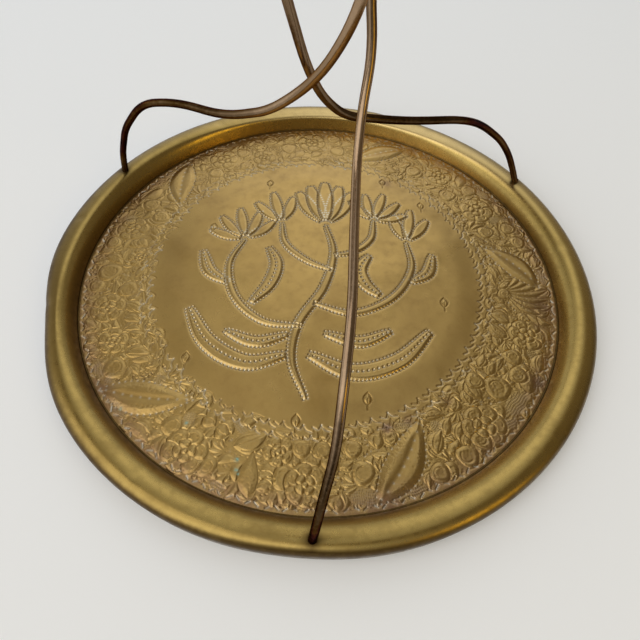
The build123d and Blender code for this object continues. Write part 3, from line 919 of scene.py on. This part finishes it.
class Value:
    """A shader socket whose operators add Math nodes."""

    def __init__(self, graph, socket):
        self.graph, self.socket = graph, socket

    def maths(self, operation, *others):
        values = {number + 1: other for number, other in enumerate(others)}
        return self.graph.add("ShaderNodeMath", {0: self, **values}, operation=operation)

    def __add__(self, other):
        return self.maths("ADD", other)

    def __sub__(self, other):
        return self.maths("SUBTRACT", other)

    def __rsub__(self, other):
        return self.graph.add("ShaderNodeMath", {0: other, 1: self}, operation="SUBTRACT")

    def __mul__(self, other):
        return self.maths("MULTIPLY", other)

    def __pow__(self, other):
        return self.maths("POWER", other)

    __radd__, __rmul__ = __add__, __mul__

    def clamped(self):
        return self.graph.add("ShaderNodeClamp", {"Value": self})

    def step(self, low, high):
        """0 below low, 1 above high and a smooth step between them."""
        values = {"Value": self, "From Min": low, "From Max": high}
        return self.graph.add("ShaderNodeMapRange", values, interpolation_type="SMOOTHSTEP")


class Graph:
    """A node tree that is built up node by node."""

    def __init__(self, tree):
        self.tree = tree
        tree.nodes.clear()

    def add(self, kind, values=(), output=0, **settings):
        """A node of this kind, its settings set first, then its sockets' values or links."""
        node = self.tree.nodes.new(kind)
        for name, setting in settings.items():
            setattr(node, name, setting)
        for key, value in dict(values).items():
            if isinstance(value, Value):
                self.tree.links.new(value.socket, node.inputs[key])
            else:
                node.inputs[key].default_value = value
        return Value(self, node.outputs[output]) if len(node.outputs) else node

    def place(self):
        return self.add("ShaderNodeTexCoord", output="Object")

    def mark(self, name):
        return self.add("ShaderNodeAttribute", output="Fac", attribute_name=name)

    def noise(self, scale, detail=3.0, roughness=0.55, place=None, distortion=0.0):
        """Fractal noise: scale is in features to the metre."""
        values = {"Vector": place or self.place(), "Scale": scale, "Detail": detail,
                  "Roughness": roughness, "Distortion": distortion}
        return self.add("ShaderNodeTexNoise", values)

    def mix(self, share, low, high):
        """Two colours mixed by share, which the node holds between 0 and 1."""
        low, high = (one if isinstance(one, Value) else (*one, 1.0) for one in (low, high))
        return self.add("ShaderNodeMix", {0: share, 6: low, 7: high}, output=2, data_type="RGBA")

    def dot(self, vector, x, y, z):
        """How far a vector points the way of another."""
        values = {0: vector, 1: (x, y, z)}
        return self.add("ShaderNodeVectorMath", values, output="Value", operation="DOT_PRODUCT")

    def axis(self, name):
        """One coordinate of the place on the object."""
        return self.add("ShaderNodeSeparateXYZ", {"Vector": self.place()}, output=name)

    def surface(self, tone, metal, rough, coat=0.0, **sockets):
        """The principled shader and its output; constants come by their sockets' names."""
        values = {name.replace("_", " "): value for name, value in sockets.items()}
        values.update({"Base Color": tone, "Metallic": metal, "Roughness": rough,
                       "Coat Weight": coat})
        shader = self.add("ShaderNodeBsdfPrincipled", values)
        self.add("ShaderNodeOutputMaterial", {"Surface": shader})


def new_material(name):
    """An empty material and the graph that fills it."""
    material = bpy.data.materials.new(name)
    material.use_nodes = True
    return material, Graph(material.node_tree)


# How much of the brass's dull natural coat lies on it
COAT = 0.4


def finish_brass(name, look, base, dark, roughness, marks=False, spun=0.0):
    """Aged brass: uneven brown tarnish, rubbed high places, hairline scratches and small pits.

    Marks is for the worked sheet, whose attributes carry the recesses, matting, stains and painted
    glints. Without them, the rim's attributes carry its patina, painted shade and a painted
    highlight. Spun is the height of fine rings about the Z axis, as turned metal has.
    """
    material, graph = new_material(name)
    clouds = graph.noise(28.0, 5.0, 0.6, distortion=0.4)
    mottle = graph.noise(210.0, 5.0, 0.65)
    grain = graph.noise(2600.0, 2.0, 0.5)
    tarnish_and_shade = clouds.step(0.4, 0.74) * 0.5 + mottle.step(0.45, 0.75) * 0.3
    rough = roughness + 0.1 * mottle.step(0.35, 0.7) + 0.05 * clouds.step(0.4, 0.65)
    tone = graph.mix(tarnish_and_shade, base, dark)
    stretched = graph.add("ShaderNodeMapping", {"Vector": graph.place(), "Scale": (0.6, 9.0, 4.0),
                                                "Rotation": (0.2, 0.3, 0.7)})
    scratches = graph.noise(420.0, 3.0, 0.6, place=stretched)
    height = 0.35 * mottle + 0.25 * scratches + 0.3 * grain
    metal, coat = 1.0, COAT
    if marks:
        recess = graph.mark("recess").clamped()
        crest = (0 - graph.mark("recess")).clamped()
        matting = graph.mark("matting")
        reach = graph.add("ShaderNodeVectorMath", {0: graph.place()}, output="Value",
                          operation="LENGTH")
        outer = reach.step(0.128, 0.141)
        # From the lowest coat to the highest: brown near the rim, stains, dirt, wear, bare metal with
        # painted glints, specks
        tone = graph.mix(outer * (0.25 + 0.75 * mottle.step(0.3, 0.6)), tone, look.edge_tarnish)
        tone = graph.mix(graph.mark("tarnish_and_shade") * (0.4 + mottle), tone, look.stain)
        tone = graph.mix(recess * 0.4 + matting * 0.2, tone, look.recess)
        tone = graph.mix(crest * 0.55, tone, look.rubbed)
        # Bare metal in the punch marks, with painted glints there and on the facets
        bright = graph.mark("bright") * (0.45 + 0.55 * mottle.step(0.35, 0.6))
        tone = graph.mix(bright, tone, look.bright)
        speck = graph.noise(900.0, 2.0, 0.5).step(0.7, 0.78) * 0.5
        tone = graph.mix(speck * (0.3 + 0.7 * outer), tone, look.recess)
        verdigris = (graph.mark("verdigris") * 1.6 * mottle.step(0.3, 0.6)).clamped()
        tone = graph.mix(verdigris, tone, look.verdigris)
        rough = rough + 0.12 * recess + 0.1 * matting - 0.06 * crest - 0.1 * bright
        rough = rough + 0.3 * verdigris
        metal = 1.0 - 0.85 * verdigris
    else:
        # The rim's painted highlight at the back, in the rubbed colour
        tone = graph.mix(graph.mark("bright") * 0.9, tone, look.rubbed)
        # The rim's patina and painted shade, which also lower its coat
        soil_and_shade = graph.mark("tarnish_and_shade") * (0.92 + 0.16 * mottle.step(0.3, 0.7))
        coat = (COAT - 0.36 * soil_and_shade).clamped()
        tone = graph.mix(soil_and_shade, tone, look.soil_and_shade)
        rough = rough + 0.1 * graph.mark("tarnish_and_shade")
    if spun:
        x, y = graph.axis("X"), graph.axis("Y")
        rings = {"X": (x * x + y * y) ** 0.5, "Y": graph.axis("Z")}
        rings = graph.add("ShaderNodeCombineXYZ", rings)
        height = height + spun * graph.noise(1900.0, 2.0, 0.5, place=rings)
    normal = graph.add("ShaderNodeBump", {"Height": height, "Distance": look.wear_depth})
    graph.surface(tone, metal, rough.clamped(), coat, Normal=normal, Coat_Roughness=0.22)
    return material


# What a rod mirrors along its edges
ROD_EDGE = (0.3, 0.18, 0.08, 1.0)


def finish_rod(name, look):
    """Darkened brass rod: brown patina that is rubbed through to gold in streaks, with a painted sheen
    on the front rod's upper part.
    """
    material, graph = new_material(name)
    clouds = graph.noise(60.0, 4.0, 0.6)
    mottle = graph.noise(650.0, 4.0, 0.6)
    # Painted sheen: the front rod's upper part is painted lighter
    painted_sheen = (0 - graph.axis("Y")).step(-0.03, 0.03) * graph.axis("Z").step(0.035, 0.10)
    worn = clouds.step(0.4, 0.7) * 0.1 + mottle.step(0.45, 0.75) * 0.1
    tone = graph.mix(worn + painted_sheen * 0.65, look.rod_dark, look.rod)
    rough = 0.17 + 0.07 * mottle.step(0.35, 0.7)
    height = 0.25 * mottle + 0.4 * graph.noise(2400.0, 2.0)
    normal = graph.add("ShaderNodeBump", {"Height": height, "Distance": 0.5 * look.wear_depth})
    graph.surface(tone, 1.0, rough, 0.05, Normal=normal, Specular_Tint=ROD_EDGE,
                  Coat_Roughness=0.12)
    return material


def tint(name, description, default):
    """A colour to be set in the panel."""
    return FloatVectorProperty(name=name, description=description, default=default,
                               subtype="COLOR", min=0, max=1)


def length(name, description, default):
    """A length in metres to be set in the panel."""
    return FloatProperty(name=name, description=description, default=default, unit="LENGTH")


class DishSettings(bpy.types.PropertyGroup):
    """Sizes of the work on the dish."""

    seed: IntProperty(name="Hand", description="Which hand did the uneven parts of the work",
                      default=7, min=0)
    dot_pitch: length("Dot Pitch", "From one punched dot to the next", 0.0022)
    dot_depth: length("Dot Depth", "How deep a dot is punched", 0.0006)
    edge_marks: IntProperty(name="Edge Marks", description="Marks along the border's inner edge",
                            default=70, min=8)
    fill_pitch: length("Fill Pitch", "From one small leaf to the next", 0.0086)
    rim_marks: IntProperty(name="Rim Marks", description="Strokes along the border's outer edge",
                           default=196, min=8)
    facets: IntProperty(name="Facets", description="Bright facets thrown over the sheet",
                        default=8000, min=0)
    matting_dots: IntProperty(name="Matting Dots", description="Small pits thrown over the sheet",
                              default=52000, min=0)
    sway: length("Sway", "How far the sheet bends over a hand's width", 0.00022)
    ripple: length("Ripple", "How far the sheet bends over a finger's width", 0.00005)
    buckle: FloatProperty(name="Buckle", description="How much more it bends round the spray",
                          default=2.0, min=0)
    heavier_right: FloatProperty(name="Heavier Right", default=0.2,
                                 description="How much deeper the work is at the right edge")
    heavier_back: FloatProperty(name="Heavier Back", default=-0.08,
                                description="How much deeper the work is at the back edge")
    crown: length("Crown", "How far the centre stands above the border", 0.0007)
    border_step: length("Border Step", "Grid step of the border", 0.00029)
    centre_step: length("Centre Step", "Grid step of the centre", 0.00038)
    rim_rounds: IntProperty(name="Rim Steps", description="Steps of the rim about the axis",
                            default=600, min=60)


class FinishSettings(bpy.types.PropertyGroup):
    """Colours and wear of the brass."""

    brass: tint("Brass", "The dish where it is clean", (0.44, 0.28, 0.078))
    brass_dark: tint("Dark Brass", "The dish where it is tarnished", (0.325, 0.196, 0.052))
    rim: tint("Rim", "The rim where it is clean", (0.42, 0.285, 0.074))
    rim_dark: tint("Dark Rim", "The rim where it is tarnished", (0.28, 0.18, 0.038))
    edge_tarnish: tint("Edge Tarnish", "Brown near the rim", (0.33, 0.19, 0.078))
    stain: tint("Stain", "Dark stains", (0.16, 0.075, 0.05))
    # Patina on the rim, and the colour of its painted shade
    soil_and_shade: tint("Soiled", "Places that no cloth reaches", (0.085, 0.05, 0.014))
    recess: tint("Recess", "Dirt in cut lines", (0.16, 0.10, 0.04))
    # Also the colour of the rim's painted highlight at the back
    rubbed: tint("Rubbed", "High places", (0.58, 0.42, 0.17))
    # Also the colour of the painted glints on the punch marks and the facets
    bright: tint("Bright", "Metal laid bare by the punch", (0.71, 0.70, 0.58))
    verdigris: tint("Verdigris", "Blue-green in a few dots", (0.24, 0.46, 0.36))
    # Also the colour of the painted sheen on the front rod
    rod: tint("Rod", "The rods where they are rubbed", (0.54, 0.37, 0.23))
    rod_dark: tint("Dark Rod", "The rods' patina", (0.045, 0.024, 0.008))
    wear_depth: length("Wear Depth", "Depth of scratches and pits", 0.00004)


class StageSettings(bpy.types.PropertyGroup):
    """The plain stage that the tray is looked at on."""

    # The floor's two colours paint light on it: paler and bluer at the back, darker at the front
    floor: tint("Floor", "Colour of the floor at the back", (0.935, 0.965, 1.0))
    floor_front: tint("Floor in Front", "Colour of the floor at the front", (0.90, 0.91, 0.92))
    floor_size: length("Floor Size", "Width of the floor", 6.0)
    window: FloatProperty(name="Window", description="Brightness of the side with the window",
                          default=1.25, min=0)
    shade: FloatProperty(name="Shade", description="Brightness of the side away from it",
                         default=0.19, min=0)
    shade_colour: tint("Shade Colour", "Colour of the dim sides", (1.0, 0.82, 0.56))
    sky_colour: tint("Sky Colour", "Colour of the bright sides", (0.97, 0.99, 1.0))
    lamp: FloatProperty(name="Lamp", description="Power of the soft lamp in the window",
                        default=44.0, min=0, unit="POWER")
    warm_colour: tint("Warm Colour", "Colour of the room's own lamp", (1.0, 0.68, 0.08))
    warm: FloatProperty(name="Warm Lamp", description="Power of the room's own lamp",
                        default=5.5, min=0, unit="POWER")


class Maker:
    """What the tray's operators share."""

    bl_options = {"REGISTER", "UNDO"}


class TRAY_OT_rim(Maker, bpy.types.Operator):
    """Make the hollow rim with its hem"""

    bl_idname = "tray.rim"
    bl_label = "Rim"

    def execute(self, context):
        look = context.scene.tray_finish
        material = finish_brass("rim_brass", look, look.rim, look.rim_dark, 0.21)
        rim_piece(material, context.scene.tray_dish.rim_rounds)
        return {"FINISHED"}


class TRAY_OT_border(Maker, bpy.types.Operator):
    """Make the chased border, in sectors"""

    bl_idname = "tray.border"
    bl_label = "Chased Border"

    def execute(self, context):
        look, sizes = context.scene.tray_finish, context.scene.tray_dish
        material = finish_brass("border_brass", look, look.brass, look.brass_dark, 0.27, marks=True)
        step = sizes.border_step / MM
        middle = (BORDER_SEAM + RIM_SEAM) / 2
        rows = COARSE * round((RIM_SEAM - BORDER_SEAM) / step / COARSE) + 1
        columns = COARSE * round(TURN * middle / BORDER_SECTORS / step / COARSE)
        radius = np.linspace(BORDER_SEAM, RIM_SEAM, rows)
        turn = np.linspace(0, TURN, BORDER_SECTORS * columns + 1)
        for number in range(BORDER_SECTORS):
            part = turn[number * columns:(number + 1) * columns + 1]
            plan = np.stack([np.outer(radius, np.cos(part)), np.outer(radius, np.sin(part))], -1)
            sheet_piece(f"border_{number + 1}", plan.transpose(1, 0, 2), material)
        return {"FINISHED"}


class TRAY_OT_centre(Maker, bpy.types.Operator):
    """Make the smooth centre with its punched spray, in quarters"""

    bl_idname = "tray.centre"
    bl_label = "Centre"

    def execute(self, context):
        look, sizes = context.scene.tray_finish, context.scene.tray_dish
        material = finish_brass("centre_brass", look, look.brass, look.brass_dark, 0.27, marks=True)
        steps = COARSE * CENTRE_SQUARES * round(
            2 * BORDER_SEAM / (sizes.centre_step / MM) / COARSE / CENTRE_SQUARES)
        line = np.linspace(-1, 1, steps + 1)
        u, v = np.meshgrid(line, line, indexing="ij")
        # A square laid over a disc: each side of the square becomes a quarter of the circle
        plan = BORDER_SEAM * np.stack([u * np.sqrt(1 - v**2 / 2), v * np.sqrt(1 - u**2 / 2)], -1)
        part = steps // CENTRE_SQUARES
        for row in range(CENTRE_SQUARES):
            for column in range(CENTRE_SQUARES):
                cells = plan[row * part:(row + 1) * part + 1, column * part:(column + 1) * part + 1]
                number = row * CENTRE_SQUARES + column + 1
                sheet_piece(f"centre_{number}", cells.transpose(1, 0, 2), material)
        return {"FINISHED"}


def dress(nodes, material):
    """Give carried-over nodes their finish."""
    for name in nodes:
        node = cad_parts[name]
        node.data.materials.clear()
        node.data.materials.append(material)


class TRAY_OT_rods(Maker, bpy.types.Operator):
    """Finish the three rods and the hanging ring"""

    bl_idname = "tray.rods"
    bl_label = "Rods and Ring"

    def execute(self, context):
        material = finish_rod("rod_brass", context.scene.tray_finish)
        dress(["arm_front", "arm_back_right", "arm_back_left", "hanging_ring"], material)
        return {"FINISHED"}


class TRAY_OT_fittings(Maker, bpy.types.Operator):
    """Finish the turned cap, the finial, the nuts and the washers"""

    bl_idname = "tray.fittings"
    bl_label = "Fittings"

    def execute(self, context):
        look = context.scene.tray_finish
        turned = finish_brass("turned_brass", look, look.brass, look.brass_dark, 0.26, spun=0.8)
        dress(["crown_cap", "swivel_finial"], turned)
        plain = finish_brass("fastener_brass", look, look.brass_dark, look.recess, 0.34)
        names = [f"{kind}_{foot}" for kind in ("rim_washer", "rim_nut", "lock_nut") for foot in FEET]
        dress(names + ["swivel_washer", "swivel_nut"], plain)
        return {"FINISHED"}


class TRAY_OT_stage(Maker, bpy.types.Operator):
    """Set out the floor, the light and the camera"""

    bl_idname = "tray.stage"
    bl_label = "Stage"

    def execute(self, context):
        settings = context.scene.tray_stage
        lay_floor(settings)
        light_room(settings)
        place_camera()
        context.scene.view_settings.view_transform = "Standard"
        return {"FINISHED"}


def lay_floor(settings):
    """A pale square at the height that the tray stands on, with painted light: paler and bluer at the
    back, darker at the front.
    """
    half = settings.floor_size / 2
    mesh = bpy.data.meshes.new("floor")
    corners = [(-half, -half, 0), (half, -half, 0), (half, half, 0), (-half, half, 0)]
    mesh.from_pydata(corners, [], [(0, 1, 2, 3)])
    material, graph = new_material("floor")
    # Painted light: the floor is paler and bluer at the back than at the front
    tone = graph.mix(graph.axis("Y").step(-0.3, 0.6), settings.floor_front, settings.floor)
    graph.surface(tone, 0.0, 0.8)
    mesh.materials.append(material)
    floor = bpy.data.objects.new("floor", mesh)
    bpy.context.scene.collection.objects.link(floor)


# The two lamps, in metres: each one's width and where it hangs
SOFT_LAMP = 3.4, (-1.5, -1.2, 2.31)
WARM_LAMP = 1.1, (1.58, -1.28, 0.84)
# How much of the back's and the window's light is lost on the right and higher up
FADED = 0.72


def light_room(settings):
    """A room with one bright side on the left, a dim one on the right, and two lamps.

    The brightness is a sum of smooth steps of the cosines between the view and the sides.
    """
    world = bpy.data.worlds.new("room")
    bpy.context.scene.world = world
    world.use_nodes = True
    graph = Graph(world.node_tree)
    towards = partial(graph.dot, graph.add("ShaderNodeTexCoord", output="Generated"))
    right = towards(1, 0, 0)
    front, back, up = towards(0, -1, 0), towards(0, 1, 0), towards(0, 0, 1)
    window = towards(-0.94, -0.34, 0).step(0.4, 0.9) * (1 - FADED * up.step(0.15, 0.5))
    glow = settings.shade + settings.window * window
    glow = glow + 0.5 * back.step(0.25, 0.8) * (1 - FADED * right.step(0.15, 0.6))
    # Two pale patches, on the back wall and over it, which the rim and the centre mirror
    glow = glow + 0.55 * towards(0, 0.83, 0.56).step(0.92, 1.0)
    glow = glow + 0.54 * towards(0, 0.38, 0.92).step(0.88, 1.0)
    glow = glow + 0.6 * front.step(0.1, 0.6) * up.step(0.2, 0.6) * (1 - 0.75 * right.step(0, 0.5))
    tone = graph.mix(glow.step(0.1, 0.6), settings.shade_colour, settings.sky_colour)
    background = graph.add("ShaderNodeBackground", {"Color": tone, "Strength": glow})
    graph.add("ShaderNodeOutputWorld", {"Surface": background})
    hang_lamp("soft_lamp", "SQUARE", *SOFT_LAMP, settings.lamp, (1, 1, 1))
    hang_lamp("warm_lamp", "DISK", *WARM_LAMP, settings.warm, settings.warm_colour)


def hang_lamp(name, shape, size, spot, power, tint):
    """A flat lamp that shines at the tray and is seen only in what it lights."""
    lamp = bpy.data.lights.new(name, "AREA")
    lamp.shape, lamp.size = shape, size
    lamp.energy, lamp.color = power, tint
    holder = bpy.data.objects.new(name, lamp)
    holder.visible_camera = False
    back = np.array(spot) / np.linalg.norm(spot)
    right = np.cross([0.0, 1.0, 0.0], back)
    right /= np.linalg.norm(right)
    turned = Matrix(np.stack([right, np.cross(back, right), back], 1)).to_4x4()
    turned.translation = spot
    holder.matrix_world = turned
    bpy.context.scene.collection.objects.link(holder)


# The camera: where it stands, in millimetres, how far it looks down and leans, in degrees
CAMERA_PLACE = (0.98, -179.35, 218.9)
CAMERA_DOWN = 56.805
CAMERA_LEAN = 3.372
CAMERA_LENS = 25.52


def place_camera():
    """The camera at the viewing angle that was fitted to the rim, the holes and the rods."""
    down, lean = math.radians(CAMERA_DOWN), math.radians(CAMERA_LEAN)
    level = np.array([[1, 0, 0], [0, math.sin(down), math.cos(down)],
                      [0, math.cos(down), -math.sin(down)]])
    leaned = np.array([[math.cos(lean), math.sin(lean), 0],
                       [-math.sin(lean), math.cos(lean), 0], [0, 0, 1]])
    right, up, ahead = leaned @ level
    camera = bpy.data.cameras.new("camera")
    camera.lens = CAMERA_LENS
    camera.sensor_width = 36.0
    camera.clip_start, camera.clip_end = 0.01, 50.0
    holder = bpy.data.objects.new("camera", camera)
    bpy.context.scene.collection.objects.link(holder)
    turned = Matrix(np.stack([right, up, -ahead], 1)).to_4x4()
    turned.translation = [value * MM for value in CAMERA_PLACE]
    holder.matrix_world = turned
    bpy.context.scene.camera = holder


class TRAY_PT_panel(bpy.types.Panel):
    """The tray's pieces and settings"""

    bl_idname = "TRAY_PT_panel"
    bl_label = "Hanging Brass Tray"
    bl_space_type = "VIEW_3D"
    bl_region_type = "UI"
    bl_category = "Tray"

    def draw(self, context):
        for operator in OPERATORS:
            self.layout.operator(operator.bl_idname)
        for group in (context.scene.tray_dish, context.scene.tray_finish, context.scene.tray_stage):
            box = self.layout.box()
            for name in group.__annotations__:
                box.prop(group, name)


OPERATORS = (TRAY_OT_rim, TRAY_OT_border, TRAY_OT_centre, TRAY_OT_rods, TRAY_OT_fittings,
             TRAY_OT_stage)
SETTINGS = {"tray_dish": DishSettings, "tray_finish": FinishSettings, "tray_stage": StageSettings}


def register():
    for kind in (*SETTINGS.values(), *OPERATORS, TRAY_PT_panel):
        bpy.utils.register_class(kind)
    for name, kind in SETTINGS.items():
        setattr(bpy.types.Scene, name, PointerProperty(type=kind))


def unregister():
    for name in SETTINGS:
        delattr(bpy.types.Scene, name)
    for kind in (TRAY_PT_panel, *reversed(OPERATORS), *reversed(SETTINGS.values())):
        bpy.utils.unregister_class(kind)


def main():
    """Make every piece."""
    register()
    for operator in OPERATORS:
        group, name = operator.bl_idname.split(".")
        getattr(getattr(bpy.ops, group), name)()


if __name__ == "__main__":
    main()
